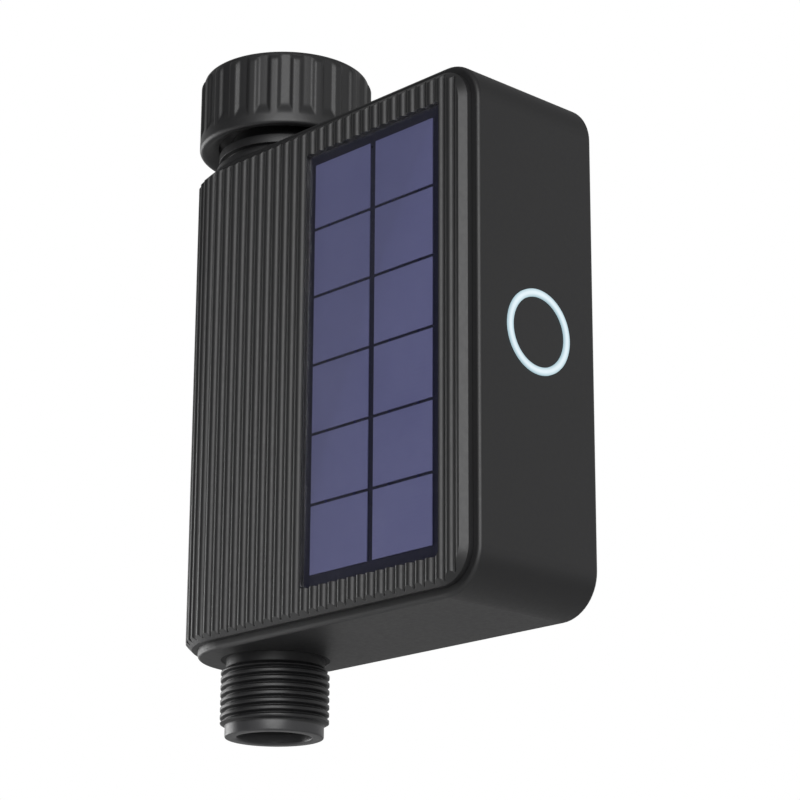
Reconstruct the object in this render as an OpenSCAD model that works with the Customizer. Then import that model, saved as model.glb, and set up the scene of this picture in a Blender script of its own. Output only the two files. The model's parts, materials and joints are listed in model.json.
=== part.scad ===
// Solar hose-tap water timer. Millimetres, +Z up, front face towards -Y.
// The origin is on the waterway's axis where the swivel nut's thread starts, in its open top.

/* [Case] */
// Where the flat button side stands, from the waterway's axis
side_x = 89; // [88:0.5:94]
// Wall of the tub
wall = 2.2; // [2.0:0.1:2.4]
// Rounding of the tub's outer edges
edge_r = 1.0; // [0.6:0.1:1.4]
// Radius of the two corners on the button side
corner_r = 10.5; // [9:0.5:12]

/* [Ribbed cover] */
// Distance between ribs
rib_pitch = 3.18; // [2.8:0.02:3.6]
// Depth of the valleys between ribs
rib_depth = 0.95; // [0.6:0.05:1.1]
// Radius of each rib's round top
rib_r = 1.35; // [1.25:0.05:1.4]
// Bevel round the cover's outer edge
cover_bevel = 1.55; // [1.0:0.05:1.8]
// How far the tub's edge shows round the cover
cover_inset = 2.2; // [1.8:0.1:2.6]

/* [Solar panel] */
// Cells across
cell_columns = 2; // [1:1:3]
// Cells up
cell_rows = 6; // [4:1:8]
// Gap between columns
column_gap = 1.9; // [1:0.1:3]
// Gap between rows
row_gap = 0.75; // [0.5:0.05:1.5]

/* [Tap nut] */
// Grip ribs round the nut
nut_ribs = 24; // [16:1:30]
// Angle each grip rib takes up
nut_rib_angle = 6.5; // [4:0.5:9]
// Tapping radius of the nut's thread
nut_thread_r = 15.15; // [15.05:0.05:15.4]

/* [Hose outlet] */
// Outside radius of the outlet's thread
outlet_thread_r = 13.22; // [13.0:0.02:13.24]
// Radius of the waterway
water_r = 8.1; // [7:0.1:8.2]

/* [Drive] */
// Teeth on each large gear
wheel_teeth = 32; // [30:1:33]
// Gap left between meshed teeth, measured round the pitch circle
backlash = 0.12; // [0.08:0.01:0.16]
// Angle the cam's lobe takes up
cam_angle = 80; // [60:5:100]

/* [Hidden] */
$fn = 48;

// Tub
end_r = 19;
tub_low = -151.84;
tub_high = -26.17;
in_r = end_r - wall;
in_side = side_x - wall;
in_low = tub_low + wall;
in_high = tub_high - wall;
lip_x0 = 5;
lip_x1 = side_x - 5;
lip_low = tub_low + 5.5;
lip_high = tub_high - 5.5;
seat_gap = 0.05;

// Cover
crest_y = -22;
cover_back = -end_r - seat_gap;
cover_side = side_x - cover_inset + 0.1;
cover_low = tub_low + cover_inset;
cover_high = tub_high - cover_inset;
cover_corner = corner_r - cover_inset;
valley_y = crest_y + rib_depth;
rib_start = 0.85;
wrap_angle = 90;

// Solar panel, as layers back from the crests
panel_x0 = 33;
panel_x1 = 79;
panel_low = -143;
panel_high = -35.5;
panel_gap = 0.15;
panel_floor = -19.5;
pad_back = -18;
tape_y = -19.7;
board_y = -20.5;
cell_y = -20.75;
glass_y = -21.9;
cells_x0 = 35.5;
cells_x1 = 75.77;
cells_low = -140;
cells_high = -38.5;
cell_w = (cells_x1 - cells_x0 - (cell_columns - 1) * column_gap) / cell_columns;
cell_h = (cells_high - cells_low - (cell_rows - 1) * row_gap) / cell_rows;
panel_lead_x = 56;
panel_lead_z = -39.5;

// Screws that close the case from behind: [x, z]
case_posts = [[21, -35.2], [21, -142.3], [79, -35.2], [79, -142.3]];
post_r = 3;
post_end = 12;
case_screw_r = 1.45;

// Nut and inlet
nut_r = 22.1;
nut_body_r = 21.4;
nut_high = 0.8;
nut_low = -19.55;
nut_thread_low = -9.5;
nut_relief_r = 16.9;
nut_collar_top = -13.85;
nut_collar_low = -16.5;
nut_hole_r = 13.9;
flange_r = 15;
flange_top = -11.6;
flange_low = -13.8;
washer_top = -9.6;

// Valve
valve_z = -88;
ball_r = 12;
chamber_r = 12.4;
seat_top = valve_z + ball_r;
seat_low = valve_z - ball_r;
body_r = 15.5;
body_low = -146;
neck_r = 17;
neck_top = -20.2;
boss_r = 17.6;
boss_top = -24.3;
stem_r = 3.5;
stem_end_r = 2.5;
run = 0.05;

// Outlet
outlet_core_r = 12;
mouth_r = 9.05;
mouth_top = -152;
thread_top = -153.8;
thread_low = -168.2;
outlet_end = -170.9;

// Drive: every axle runs along X
tooth_m = 0.6;
pinion_teeth = 12;
press_angle = 25;
wheel_pr = tooth_m * wheel_teeth / 2;
pinion_pr = tooth_m * pinion_teeth / 2;
mesh_gap = wheel_pr + pinion_pr + 0.03;
out_y = 0;
mid_y = 3;
fast_y = 0;
motor_y = 5;
out_z = valve_z;
mid_z = out_z + sqrt(mesh_gap * mesh_gap - (mid_y - out_y) * (mid_y - out_y));
fast_z = mid_z + sqrt(mesh_gap * mesh_gap - (fast_y - mid_y) * (fast_y - mid_y));
motor_z = fast_z + sqrt(mesh_gap * mesh_gap - (motor_y - fast_y) * (motor_y - fast_y));
box_x0 = 18.6;
box_x1 = 33;
box_wall = 1.2;
box_y0 = -12.6;
box_y1 = 15.4;
box_low = -101.5;
box_high = -40;
lid_x1 = 34.4;
axle_r = 1;

// Main board
pcb_y0 = -16.2;
pcb_y1 = -14.6;
pcb_x0 = 26;
pcb_x1 = 78;
pcb_low = -138;
pcb_high = -39;
pcb_holes = [[30, -42.5], [74, -42.5], [30, -134.5], [74, -134.5]];

// Cell and its holder
cell_x = 62;
cell_axis_y = 5.6;
cell_r = 9.15;
cell_low = -147.1;
cell_top = -82.1;

// Lit ring and button, on an axis along X at mid-height
ring_z = -89;
ring_out_r = 10.14;
ring_in_r = 8.35;
ring_proud = 0.3;
ring_back = side_x - 6.1;
cap_r = ring_in_r - run;
led_face = ring_back - 0.3;
led_back = led_face - 0.8;
ring_pcb_x0 = led_back - 1.2;
led_count = 6;
led_ring_r = 9.3;

// ---- Helpers ----

// A flat shape in X and Z given thickness from y0 back to y1
module slab_y(y0, y1) {
  translate([0, y1, 0])
    rotate([90, 0, 0])
      linear_extrude(y1 - y0)
        children();
}

// A flat shape in Y and Z carried along X from x0 to x1
module bar_x(x0, x1) {
  translate([x0, 0, 0])
    rotate([90, 0, 90])
      linear_extrude(x1 - x0)
        children();
}

// A flat plan shape carried up from z0 to z1
module tall(z0, z1) {
  translate([0, 0, z0])
    linear_extrude(z1 - z0)
      children();
}

// A round bar along X at [y, z]
module rod_x(x0, x1, r, y = 0, z = 0) {
  bar_x(x0, x1)
    translate([y, z])
      circle(r);
}

// A round bar along Y at [x, z]
module rod_y(y0, y1, r, x = 0, z = 0) {
  slab_y(y0, y1)
    translate([x, z])
      circle(r);
}

// A box given by its two corners
module block(a, b) {
  translate(a)
    cube(b - a);
}

// A rectangle with rounded corners, given by its two corners
module round_rect(x0, y0, x1, y1, r) {
  translate([x0 + r, y0])
    square([x1 - x0 - 2 * r, y1 - y0]);
  translate([x0, y0 + r])
    square([x1 - x0, y1 - y0 - 2 * r]);
  for (x = [x0 + r, x1 - r], y = [y0 + r, y1 - r])
    translate([x, y])
      circle(r);
}

// The right half of a rounded rectangle, for turning about an axis
module turn_half(r_out, z0, z1, r) {
  intersection() {
    round_rect(-2 * r_out, z0, r_out, z1, r);
    translate([0, z0])
      square([r_out, z1 - z0]);
  }
}

// The case's D shape: a half cylinder on the waterway's axis, run out flat to a cornered side
module d_body(r_end, side, corner, z0, z1, soft) {
  rotate([0, 0, 90])
    rotate_extrude(angle = 180)
      turn_half(r_end, z0, z1, soft);
  bar_x(0, side - corner)
    round_rect(-r_end, z0, r_end, z1, soft);
  tall(z0 + corner, z1 - corner)
    intersection() {
      round_rect(0, -r_end, side, r_end, soft);
      translate([side - corner - 0.01, -r_end])
        square([corner + 0.01, 2 * r_end]);
    }
  d_corner(side, corner, z1 - corner, 0)
    turn_half(corner, -r_end, r_end, soft);
  d_corner(side, corner, z0 + corner, -90)
    turn_half(corner, -r_end, r_end, soft);
}

// A quarter turn about Y, for the corner whose centre is at height z
module d_corner(side, corner, z, start) {
  translate([side - corner, 0, z])
    rotate([90, 0, 0])
      rotate([0, 0, start])
        rotate_extrude(angle = 90)
          children();
}

// A lead along a cubic curve between two ends, with a handle at each
lead_steps = 18;
lead_sides = 8;
function curve(p, t) =
  pow(1 - t, 3) * p[0] + 3 * pow(1 - t, 2) * t * p[1] + 3 * (1 - t) * t * t * p[2] + pow(t, 3) * p[3];
function slope(p, t) =
  3 * pow(1 - t, 2) * (p[1] - p[0]) + 6 * (1 - t) * t * (p[2] - p[1]) + 3 * t * t * (p[3] - p[2]);
function unit(v) = v / norm(v);
function ring_at(c, along, side_ref, r) =
  let (u = unit(cross(along, side_ref)))
  let (v = unit(cross(along, u)))
  [for (k = [0:lead_sides - 1]) c + r * (cos(k * 360 / lead_sides) * u + sin(k * 360 / lead_sides) * v)];

module lead(p, r, side_ref) {
  rings = [for (i = [0:lead_steps]) ring_at(curve(p, i / lead_steps), slope(p, i / lead_steps), side_ref, r)];
  points = [for (ring = rings) each ring];
  sides = [
    for (i = [0:lead_steps - 1], k = [0:lead_sides - 1])
      let (next = (k + 1) % lead_sides)
      [
        i * lead_sides + k,
        i * lead_sides + next,
        (i + 1) * lead_sides + next,
        (i + 1) * lead_sides + k
      ]
  ];
  near_end = [for (k = [lead_sides - 1:-1:0]) k];
  far_end = [for (k = [0:lead_sides - 1]) lead_steps * lead_sides + k];
  polyhedron(points, concat([near_end], sides, [far_end]), convexity = 6);
}

// A flexible ring of round section about Z
module oring_z(z, r_in, section) {
  translate([0, 0, z])
    rotate_extrude()
      translate([r_in + section, 0])
        circle(section);
}

// ---- Gears ----

function involute(a) = tan(a) * 180 / PI - a;
function tooth_half(teeth, r) =
  let (pr = tooth_m * teeth / 2)
  let (base = pr * cos(press_angle))
  let (thin = backlash / 4 / pr * 180 / PI)
  90 / teeth - thin + involute(press_angle) - (r > base ? involute(acos(base / r)) : 0);
function polar(r, a) = [r * cos(a), r * sin(a)];
flank_steps = 5;
function gear_points(teeth, phase) =
  let (pr = tooth_m * teeth / 2)
  let (base = pr * cos(press_angle))
  let (root = pr - 1.25 * tooth_m)
  let (tip = pr + tooth_m)
  let (start = max(base, root))
  let (root_half = (tooth_half(teeth, start) + 180 / teeth) / 2)
  [
    for (i = [0:teeth - 1])
      let (mid = phase + i * 360 / teeth)
      each concat(
        [polar(root, mid - root_half)],
        [for (k = [0:flank_steps])
          let (r = start + (tip - start) * k / flank_steps)
          polar(r, mid - tooth_half(teeth, r))],
        [for (k = [flank_steps:-1:0])
          let (r = start + (tip - start) * k / flank_steps)
          polar(r, mid + tooth_half(teeth, r))],
        [polar(root, mid + root_half)]
      )
  ];

module gear_x(x0, x1, teeth, phase, y, z) {
  bar_x(x0, x1)
    translate([y, z])
      polygon(gear_points(teeth, phase));
}

// The phase that puts gear b in mesh with gear a, when b lies in the direction dir from a
function mesh_phase(dir, phase_a, teeth_a, teeth_b) =
  dir + 180 - 180 / teeth_b + (dir - phase_a) * teeth_a / teeth_b;
dir_out_mid = atan2(mid_z - out_z, mid_y - out_y);
dir_mid_fast = atan2(fast_z - mid_z, fast_y - mid_y);
dir_fast_motor = atan2(motor_z - fast_z, motor_y - fast_y);
mid_phase = mesh_phase(dir_out_mid, 0, wheel_teeth, pinion_teeth);
fast_phase = mesh_phase(dir_mid_fast, 0, wheel_teeth, pinion_teeth);
motor_phase = mesh_phase(dir_fast_motor, 0, wheel_teeth, pinion_teeth);

// ---- Case ----

charcoal = [0.20, 0.20, 0.21];
dark = [0.13, 0.13, 0.14];

module rear_shell() {
  back_skin = in_r;
  head_r = 2.9;
  head_floor = 14.6;
  screw_hole_r = 1.7;
  gasket_y = -end_r + 1;
  color(charcoal)
    difference() {
      union() {
        difference() {
          d_body(end_r, side_x, corner_r, tub_low, tub_high, edge_r);
          d_body(in_r, in_side, corner_r - wall, in_low, in_high, 0.5);
          slab_y(-end_r - 1, -in_r + 0.5)
            round_rect(lip_x0, lip_low, lip_x1, lip_high, 4);
        }
        tall(tub_high - 1, boss_top)
          circle(boss_r);
        for (p = case_posts)
          rod_y(post_end + seat_gap, back_skin + 0.1, 4, p[0], p[1]);
        for (z = [box_low + 8, box_high - 8])
          rod_y(box_y1 + seat_gap, back_skin + 0.1, 3, (box_x0 + box_x1) / 2, z);
      }
      for (p = case_posts) {
        rod_y(post_end - 1, end_r + 1, screw_hole_r, p[0], p[1]);
        rod_y(head_floor, end_r + 1, head_r, p[0], p[1]);
      }
      rod_x(in_side - 1, side_x + 1, ring_out_r + run, 0, ring_z);
      tall(in_high - 1, boss_top + 1)
        circle(body_r + 0.8);
      tall(tub_low - 1, in_low + 1)
        circle(outlet_thread_r + 0.1);
      slab_y(-end_r - 1, gasket_y)
        difference() {
          round_rect(lip_x0 - 2.1, lip_low - 2.1, lip_x1 + 2.1, lip_high + 2.1, 5.5);
          round_rect(lip_x0 - 0.9, lip_low - 0.9, lip_x1 + 0.9, lip_high + 0.9, 4.8);
        }
    }
}

module cover_corner_profile() {
  polygon([
    [0, -cover_back],
    [cover_corner, -cover_back],
    [cover_corner, -crest_y - cover_bevel],
    [cover_corner - cover_bevel, -crest_y],
    [0, -crest_y]
  ]);
}

module cover_blank() {
  bar_x(0, cover_side - cover_corner)
    polygon([
      [cover_back, cover_low],
      [cover_back, cover_high],
      [crest_y + cover_bevel, cover_high],
      [crest_y, cover_high - cover_bevel],
      [crest_y, cover_low + cover_bevel],
      [crest_y + cover_bevel, cover_low]
    ]);
  tall(cover_low + cover_corner, cover_high - cover_corner)
    polygon([
      [cover_side - cover_corner - 0.01, cover_back],
      [cover_side, cover_back],
      [cover_side, crest_y + cover_bevel],
      [cover_side - cover_bevel, crest_y],
      [cover_side - cover_corner - 0.01, crest_y]
    ]);
  d_corner(cover_side, cover_corner, cover_high - cover_corner, 0)
    cover_corner_profile();
  d_corner(cover_side, cover_corner, cover_low + cover_corner, -90)
    cover_corner_profile();
  rotate([0, 0, 270 - wrap_angle])
    rotate_extrude(angle = wrap_angle)
      polygon([
        [-cover_back, cover_low],
        [-cover_back, cover_high],
        [-crest_y - cover_bevel, cover_high],
        [-crest_y, cover_high - cover_bevel],
        [-crest_y, cover_low + cover_bevel],
        [-crest_y - cover_bevel, cover_low]
      ]);
}

// The reeded plan: a plate with round-topped ribs, flat then bent round the pipe end
module rib_plan() {
  rib_line = -crest_y - rib_r;
  translate([0, valley_y])
    square([cover_side + 1, cover_back - valley_y]);
  difference() {
    circle(-valley_y);
    circle(-cover_back);
    translate([0, -30])
      square([30, 60]);
    translate([-30, 0])
      square([60, 30]);
  }
  intersection() {
    for (x = [rib_pitch - rib_start:rib_pitch:cover_side + rib_r])
      translate([x, -rib_line])
        circle(rib_r);
    translate([0, crest_y - 1])
      square([cover_side + 1, cover_back - crest_y + 1]);
  }
  difference() {
    for (arc = [rib_start:rib_pitch:-crest_y * PI / 2 + rib_pitch])
      rotate(arc / crest_y * 180 / PI)
        translate([0, -rib_line])
          circle(rib_r);
    circle(-cover_back);
    translate([-30, 0])
      square([60, 30]);
  }
}

module front_cover() {
  rim_gap = 0.3;
  rim_wall = 1.2;
  rim_back = -15.6;
  color(charcoal)
    difference() {
      union() {
        intersection() {
          cover_blank();
          tall(cover_low - 1, cover_high + 1)
            rib_plan();
        }
        slab_y(cover_back - 0.1, pad_back)
          round_rect(panel_x0 - 1.8, panel_low - 1.8, panel_x1 + 1.8, panel_high + 1.8, 2);
        slab_y(cover_back - 0.1, rim_back)
          difference() {
            round_rect(lip_x0 + rim_gap, lip_low + rim_gap, lip_x1 - rim_gap, lip_high - rim_gap, 3.7);
            round_rect(
              lip_x0 + rim_gap + rim_wall, lip_low + rim_gap + rim_wall,
              lip_x1 - rim_gap - rim_wall, lip_high - rim_gap - rim_wall, 2.5
            );
          }
        for (p = case_posts)
          rod_y(cover_back - 0.1, post_end, post_r, p[0], p[1]);
        for (p = pcb_holes)
          rod_y(pad_back - 0.1, pcb_y0, 2.4, p[0], p[1]);
      }
      slab_y(crest_y - 1, panel_floor)
        round_rect(panel_x0, panel_low, panel_x1, panel_high, 1);
      for (p = case_posts)
        rod_y(post_end - 9, post_end + 1, case_screw_r + run, p[0], p[1]);
      for (p = pcb_holes)
        rod_y(pcb_y0 - 1.6, pcb_y0 + 1, 0.8, p[0], p[1]);
      rod_y(panel_floor - 1, pad_back + 1, 2, panel_lead_x, panel_lead_z);
      tall(in_high - 6, tub_high + 9)
        circle(body_r + 1);
    }
}

module case_gasket() {
  color([0.1, 0.1, 0.1])
    slab_y(-end_r + 0.02, -end_r + 0.98)
      difference() {
        round_rect(lip_x0 - 2.08, lip_low - 2.08, lip_x1 + 2.08, lip_high + 2.08, 5.48);
        round_rect(lip_x0 - 0.92, lip_low - 0.92, lip_x1 + 0.92, lip_high + 0.92, 4.82);
      }
}

module case_screws() {
  color([0.72, 0.73, 0.75])
    for (p = case_posts)
      difference() {
        union() {
          rod_y(14.65, 16.5, 2.6, p[0], p[1]);
          rod_y(4, 14.7, case_screw_r, p[0], p[1]);
        }
        for (a = [0, 90])
          translate([p[0], 0, p[1]])
            rotate([0, a, 0])
              block([-1.4, 15.5, -0.35], [1.4, 17, 0.35]);
      }
}

// ---- Solar panel ----

module panel_plate(y0, y1, inset, r) {
  slab_y(y0, y1)
    difference() {
      round_rect(panel_x0 + inset, panel_low + inset, panel_x1 - inset, panel_high - inset, r);
      children();
    }
}

module panel_tape() {
  color([0.85, 0.85, 0.82])
    panel_plate(tape_y, panel_floor, 1.5, 0.5)
      translate([panel_lead_x, panel_lead_z])
        circle(2);
}

module panel_board() {
  color([0.05, 0.06, 0.08])
    panel_plate(board_y, tape_y, panel_gap, 0.9)
      for (dx = [-1, 1])
        translate([panel_lead_x + dx, panel_lead_z])
          circle(0.4);
}

module cell_at(c, r) {
  translate([cells_x0 + c * (cell_w + column_gap), cells_low + r * (cell_h + row_gap)])
    children();
}

module solar_cells() {
  color([0.33, 0.33, 0.48])
    slab_y(cell_y, board_y)
      for (c = [0:cell_columns - 1], r = [0:cell_rows - 1])
        cell_at(c, r)
          square([cell_w, cell_h]);
}

module cell_ribbons() {
  ribbon_w = 0.5;
  color([0.1, 0.1, 0.28])
    slab_y(cell_y + 0.1, board_y)
      for (c = [0:cell_columns - 1], r = [0:cell_rows - 2], part = [0.25, 0.75])
        cell_at(c, r)
          translate([cell_w * part, cell_h + 0.02])
            square([ribbon_w, row_gap - 0.04]);
}

module panel_glass() {
  glass_back = cell_y - 0.02;
  color([0.08, 0.08, 0.14, 0.35])
    panel_plate(glass_y, glass_back, panel_gap, 0.9);
}

// ---- Tap nut and inlet ----

module nut_profile() {
  lip_high = -16.4;
  void_r = 17.2;
  void_low = -17.9;
  rim_r = 20.7;
  difference() {
    union() {
      turn_half(nut_body_r, lip_high - 1, nut_high, 1.4);
      turn_half(nut_r, nut_low, lip_high, 1);
    }
    polygon([
      [-1, nut_high + 1],
      [nut_thread_r + 2.6, nut_high + 1],
      [nut_thread_r, 0],
      [nut_thread_r, nut_thread_low],
      [nut_relief_r, nut_thread_low],
      [nut_relief_r, nut_collar_top],
      [nut_hole_r, nut_collar_top],
      [nut_hole_r, nut_collar_low],
      [void_r, nut_collar_low],
      [void_r, void_low],
      [rim_r, nut_low],
      [rim_r, nut_low - 1],
      [-1, nut_low - 1]
    ]);
  }
}

module swivel_nut() {
  rib_low = -17.5;
  rib_high = nut_high - 0.5;
  color(charcoal) {
    rotate_extrude()
      nut_profile();
    for (i = [0:nut_ribs - 1])
      rotate([0, 0, (i - 0.5) * 360 / nut_ribs])
        rotate_extrude(angle = nut_rib_angle)
          polygon([
            [nut_body_r - 1, rib_low],
            [nut_r, rib_low],
            [nut_r, rib_high - 0.9],
            [nut_r - 0.4, rib_high - 0.2],
            [nut_body_r - 1, rib_high]
          ]);
  }
}

module inlet_tail() {
  color(dark)
    difference() {
      union() {
        tall(flange_low, flange_top)
          circle(flange_r);
        tall(-24, flange_low)
          circle(nut_hole_r - run);
        tall(seat_top, -24)
          circle(chamber_r - run);
      }
      tall(seat_top - 1, 1)
        circle(water_r);
      tall(-41.6, -39)
        difference() {
          circle(chamber_r + 1);
          circle(10.6);
        }
    }
}

module filter_washer() {
  color([0.16, 0.16, 0.16])
    tall(flange_top, washer_top)
      difference() {
        circle(flange_r - 0.1);
        circle(9);
      }
}

module filter_mesh() {
  hole_pitch = 2.2;
  hole_r = 0.75;
  color([0.7, 0.71, 0.72])
    tall(-10.9, -10.4)
      difference() {
        circle(8.98);
        for (i = [-3:3], j = [-3:3])
          if (norm([i, j]) < 3.5)
            translate([i * hole_pitch, j * hole_pitch])
              circle(hole_r);
      }
}

module tail_oring() {
  color([0.08, 0.08, 0.08])
    oring_z(-40.3, 10.62, 0.86);
}

module neck_seal() {
  color([0.08, 0.08, 0.08])
    tall(in_high + 0.4, boss_top - 0.4)
      difference() {
        circle(body_r + 0.78);
        circle(body_r + 0.02);
      }
}

module outlet_seal() {
  color([0.08, 0.08, 0.08])
    tall(tub_low + 0.1, in_low - 0.02)
      difference() {
        circle(outlet_thread_r + 0.08);
        circle(outlet_core_r + 0.02);
      }
}

// ---- Valve ----

module valve_body() {
  socket_top = -108;
  color(dark)
    difference() {
      union() {
        tall(-22.4, neck_top)
          circle(neck_r);
        tall(body_low, -22.3)
          circle(body_r);
      }
      tall(-24.02, 1)
        circle(nut_hole_r);
      tall(seat_low, 1)
        circle(chamber_r);
      tall(body_low - 1, 1)
        circle(water_r);
      tall(body_low - 1, socket_top)
        circle(chamber_r);
      rod_x(8, body_r + 2, 5.6, 0, valve_z);
    }
}

module ball() {
  color([0.86, 0.87, 0.89])
    translate([0, 0, valve_z])
      difference() {
        sphere(ball_r);
        rod_y(-ball_r - 1, ball_r + 1, water_r);
        block([9.95, -1.55, -9], [13, 1.55, 9]);
      }
}

module ball_seats() {
  seat_h = 4.4;
  color([0.93, 0.93, 0.9])
    for (z = [seat_low, seat_top - seat_h])
      difference() {
        tall(z + 0.02, z + seat_h - 0.02)
          difference() {
            circle(chamber_r - 0.05);
            circle(water_r + 0.1);
          }
        translate([0, 0, valve_z])
          sphere(ball_r + 0.03);
      }
}

groove_r = 2.2;
stem_groove_x = [14.6, 16.8];

module valve_stem() {
  color([0.75, 0.72, 0.62])
    translate([0, 0, valve_z])
      difference() {
        union() {
          block([10, -1.5, -4.8], [12.5, 1.5, 4.8]);
          rod_x(12.45, 13.5, 5);
          rod_x(13.4, 25, stem_r);
          rod_x(24.9, 32.4, stem_end_r);
        }
        for (x = stem_groove_x)
          bar_x(x - 0.7, x + 0.7)
            difference() {
              circle(stem_r + 1);
              circle(groove_r);
            }
        block([20.4, 2.6, -5], [26, 5, 5]);
      }
}

module stem_orings() {
  section = 0.64;
  color([0.08, 0.08, 0.08])
    for (x = stem_groove_x)
      translate([x, 0, valve_z])
        rotate([0, 90, 0])
          rotate_extrude()
            translate([groove_r + 0.01 + section, 0])
              circle(section);
}

module stem_gland() {
  color([0.3, 0.3, 0.3])
    translate([0, 0, valve_z])
      difference() {
        union() {
          rod_x(13.56, 16.2, 5.55);
          difference() {
            rod_x(12, 18.5, 8);
            tall(-10, 10)
              circle(body_r + 0.03);
          }
        }
        rod_x(12, 20, stem_r + run);
      }
}

module outlet_spigot() {
  color(charcoal)
    difference() {
      union() {
        tall(body_low - 0.1, -108.02)
          circle(chamber_r - 0.05);
        tall(in_low + 0.02, body_low - 0.02)
          circle(body_r - 0.5);
        tall(outlet_end, in_low + 0.1)
          circle(outlet_core_r);
        tall(thread_low, thread_top)
          circle(outlet_thread_r);
      }
      tall(outlet_end - 1, -100)
        circle(water_r);
      tall(outlet_end - 1, mouth_top)
        circle(mouth_r);
      tall(-115.6, -113)
        difference() {
          circle(chamber_r + 1);
          circle(10.6);
        }
    }
}

module spigot_oring() {
  color([0.08, 0.08, 0.08])
    oring_z(-114.3, 10.62, 0.86);
}

// ---- Drive ----

module gearbox_base() {
  color([0.88, 0.88, 0.85])
    difference() {
      union() {
        difference() {
          bar_x(box_x0, box_x1)
            round_rect(box_y0, box_low, box_y1, box_high, 3);
          bar_x(box_x0 + box_wall, box_x1 + 1)
            round_rect(
              box_y0 + box_wall, box_low + box_wall,
              box_y1 - box_wall, box_high - box_wall, 2
            );
        }
        rod_x(box_x0, 20.3, 2.2, mid_y, mid_z);
        rod_x(box_x0, 24.7, 2.2, fast_y, fast_z);
        for (p = box_screws)
          rod_x(box_x0, box_x1, 2, p[0], p[1]);
      }
      rod_x(box_x0 - 1, box_x0 + 4, stem_r + run, out_y, out_z);
      rod_x(box_x0 + 0.6, box_x1, axle_r + 0.01, mid_y, mid_z);
      rod_x(box_x0 + 0.6, box_x1, axle_r + 0.01, fast_y, fast_z);
      for (p = box_screws)
        rod_x(box_x1 - 7, box_x1 + 1, 0.85, p[0], p[1]);
    }
}

box_screws = [
  [box_y0 + 2.4, box_low + 2.4], [box_y1 - 2.4, box_low + 2.4],
  [box_y0 + 2.4, box_high - 2.4], [box_y1 - 2.4, box_high - 2.4]
];

module gearbox_cover() {
  color([0.88, 0.88, 0.85])
    difference() {
      union() {
        bar_x(box_x1 + 0.02, lid_x1)
          round_rect(box_y0, box_low, box_y1, box_high, 3);
        rod_x(31.1, lid_x1, 4, out_y, out_z);
        rod_x(31.6, lid_x1, 2.2, fast_y, fast_z);
        rod_x(28.4, lid_x1, 2.2, mid_y, mid_z);
      }
      rod_x(30, 33, stem_end_r + run, out_y, out_z);
      rod_x(25, 33.8, axle_r + 0.01, mid_y, mid_z);
      rod_x(25, 33.8, axle_r + 0.01, fast_y, fast_z);
      rod_x(30, 36, 3.05, motor_y, motor_z);
      for (a = motor_screw_angles)
        translate([0, motor_y, motor_z])
          rotate([a, 0, 0])
            rod_x(30, 36, 0.9, motor_screw_r, 0);
      for (p = box_screws)
        rod_x(30, 36, 0.9, p[0], p[1]);
      rod_x(30, 36, 1.5, box_y0 + 4, -96);
    }
}

motor_screw_r = 6;
motor_screw_angles = [75, 255];

module gearbox_screws() {
  color([0.72, 0.73, 0.75])
    for (p = box_screws)
      difference() {
        union() {
          rod_x(box_x1 - 6, lid_x1 + 0.1, 0.8, p[0], p[1]);
          rod_x(lid_x1 + 0.02, lid_x1 + 1.1, 1.6, p[0], p[1]);
        }
        translate([0, p[0], p[1]])
          block([lid_x1 + 0.6, -2, -0.25], [lid_x1 + 2, 2, 0.25]);
      }
}

module gear_pins() {
  color([0.72, 0.73, 0.75]) {
    rod_x(box_x0 + 0.62, 33.75, axle_r, mid_y, mid_z);
    rod_x(box_x0 + 0.62, 33.75, axle_r, fast_y, fast_z);
  }
}

module output_gear() {
  color([0.92, 0.92, 0.88])
    difference() {
      union() {
        gear_x(21, 24.4, wheel_teeth, 0, out_y, out_z);
        rod_x(20.5, 24.6, 5.4, out_y, out_z);
      }
      difference() {
        rod_x(20, 26, stem_r + 0.02, out_y, out_z);
        block([19, 2.62, out_z - 5], [27, 6, out_z + 5]);
      }
    }
}

module compound_gear(x0, x1, x2, phase, y, z) {
  difference() {
    union() {
      gear_x(x0, x1 + 0.01, pinion_teeth, phase, y, z);
      gear_x(x1, x2, wheel_teeth, 0, y, z);
    }
    rod_x(x0 - 1, x2 + 1, axle_r + run, y, z);
    for (a = [0:72:359])
      translate([0, y, z])
        rotate([a, 0, 0])
          rod_x(x1 - 1, x2 + 1, 1.6, 6.4, 0);
  }
}

module gear_2() {
  color([0.92, 0.92, 0.88])
    compound_gear(20.4, 25.3, 28.2, mid_phase, mid_y, mid_z);
}

module gear_1() {
  color([0.92, 0.92, 0.88])
    compound_gear(24.9, 28.9, 31.4, fast_phase, fast_y, fast_z);
}

module motor_pinion() {
  color([0.8, 0.66, 0.36])
    difference() {
      gear_x(28.6, 32, pinion_teeth, motor_phase, motor_y, motor_z);
      rod_x(28, 33, axle_r, motor_y, motor_z);
    }
}

module stem_cam() {
  cam_r = 4.3;
  lobe_r = 5.6;
  color([0.2, 0.35, 0.6])
    translate([0, 0, out_z])
      difference() {
        union() {
          rod_x(28.8, 30.8, cam_r);
          rotate([-90 - cam_angle, 0, 0])
            translate([28.8, 0, 0])
              rotate([0, 90, 0])
                rotate([0, 0, 90 - cam_angle])
                  rotate_extrude(angle = cam_angle)
                    translate([stem_end_r + 0.5, 0])
                      square([lobe_r - stem_end_r - 0.5, 2]);
        }
        rod_x(28, 32, stem_end_r + 0.01);
      }
}

module limit_switches() {
  color([0.12, 0.12, 0.13])
    for (y = [-8, 2])
      translate([0, y, out_z]) {
        block([27.8, 0, -11.6], [31.8, 6, -7.4]);
        block([29, y < 0 ? 4 : 0.6, -7.4], [30.4, y < 0 ? 5.4 : 2, -6.6]);
      }
}

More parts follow.
